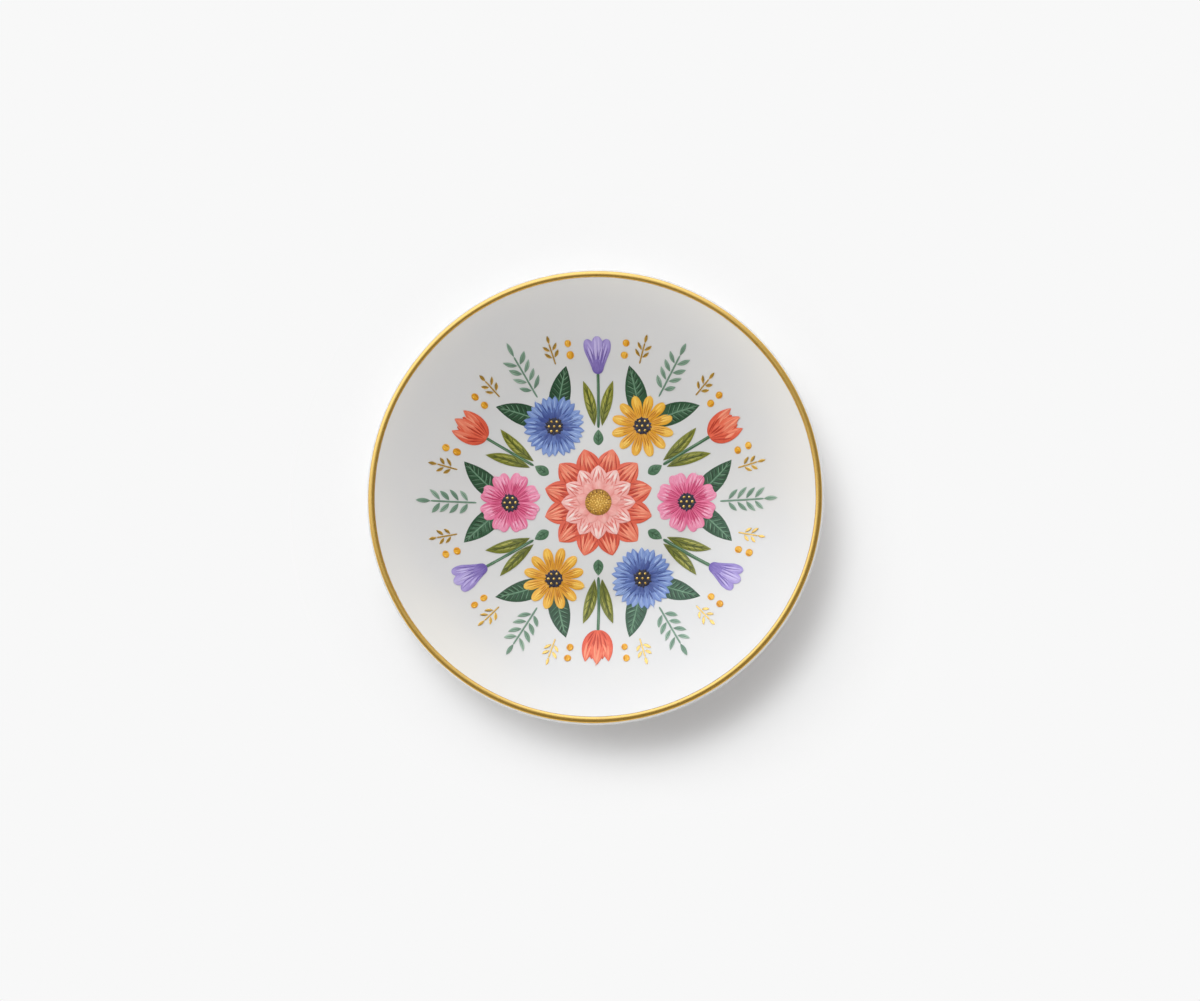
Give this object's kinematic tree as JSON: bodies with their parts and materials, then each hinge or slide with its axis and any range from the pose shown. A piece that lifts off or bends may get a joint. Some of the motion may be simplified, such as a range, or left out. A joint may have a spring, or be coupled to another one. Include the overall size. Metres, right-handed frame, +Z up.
{
  "type": "ring dish",
  "caption": "Round footed porcelain ring dish with a gilt lip and a fired-on flower rosette; it stands by itself and holds rings and small jewellery.",
  "frame": {"origin": "middle of the plane that the foot ring stands on", "axes": "+Z up along the axis of the dish; +X through the middle of one pink flower"},
  "size_m": [0.102, 0.102, 0.0203],
  "materials": {
    "bisque": "unglazed white porcelain, fine and matt, bare only under the foot ring",
    "clear_glaze": "smooth glossy white glaze",
    "gilding": "bright fired gold, brushed on by hand",
    "coral_enamel": "fired overglaze enamel with a satin gloss and brushed tone",
    "salmon_enamel": "fired overglaze enamel with a satin gloss and brushed tone",
    "ochre_enamel": "fired overglaze enamel with a satin gloss and brushed tone",
    "pink_enamel": "fired overglaze enamel with a satin gloss and brushed tone",
    "yellow_enamel": "fired overglaze enamel with a satin gloss and brushed tone",
    "blue_enamel": "fired overglaze enamel with a satin gloss and brushed tone",
    "navy_enamel": "fired overglaze enamel with a satin gloss and brushed tone",
    "lilac_enamel": "fired overglaze enamel with a satin gloss and brushed tone",
    "leaf_green_enamel": "fired overglaze enamel with a satin gloss and brushed tone",
    "olive_enamel": "fired overglaze enamel with a satin gloss and brushed tone",
    "dark_green_enamel": "fired overglaze enamel with a satin gloss and brushed tone",
    "sage_enamel": "fired overglaze enamel with a satin gloss and brushed tone"
  },
  "bodies": {
    "root": {"porcelain_body": "bisque", "glaze_coat": "clear_glaze", "base_glaze": "clear_glaze", "gold_rim_band": "gilding", "dahlia_outer_petals": "coral_enamel", "dahlia_inner_petals": "salmon_enamel", "dahlia_heart": "ochre_enamel", "pink_cosmos": "pink_enamel", "yellow_daisies": "yellow_enamel", "blue_cornflowers": "blue_enamel", "bloom_eyes": "navy_enamel", "gold_stamens": "gilding", "coral_tulips": "coral_enamel", "lilac_bellflowers": "lilac_enamel", "flower_stems": "leaf_green_enamel", "collar_leaves": "leaf_green_enamel", "lance_leaves": "olive_enamel", "dark_leaves": "dark_green_enamel", "fern_sprigs": "sage_enamel", "gold_twigs": "gilding", "ochre_berries": "yellow_enamel"}
  },
  "joints": []
}
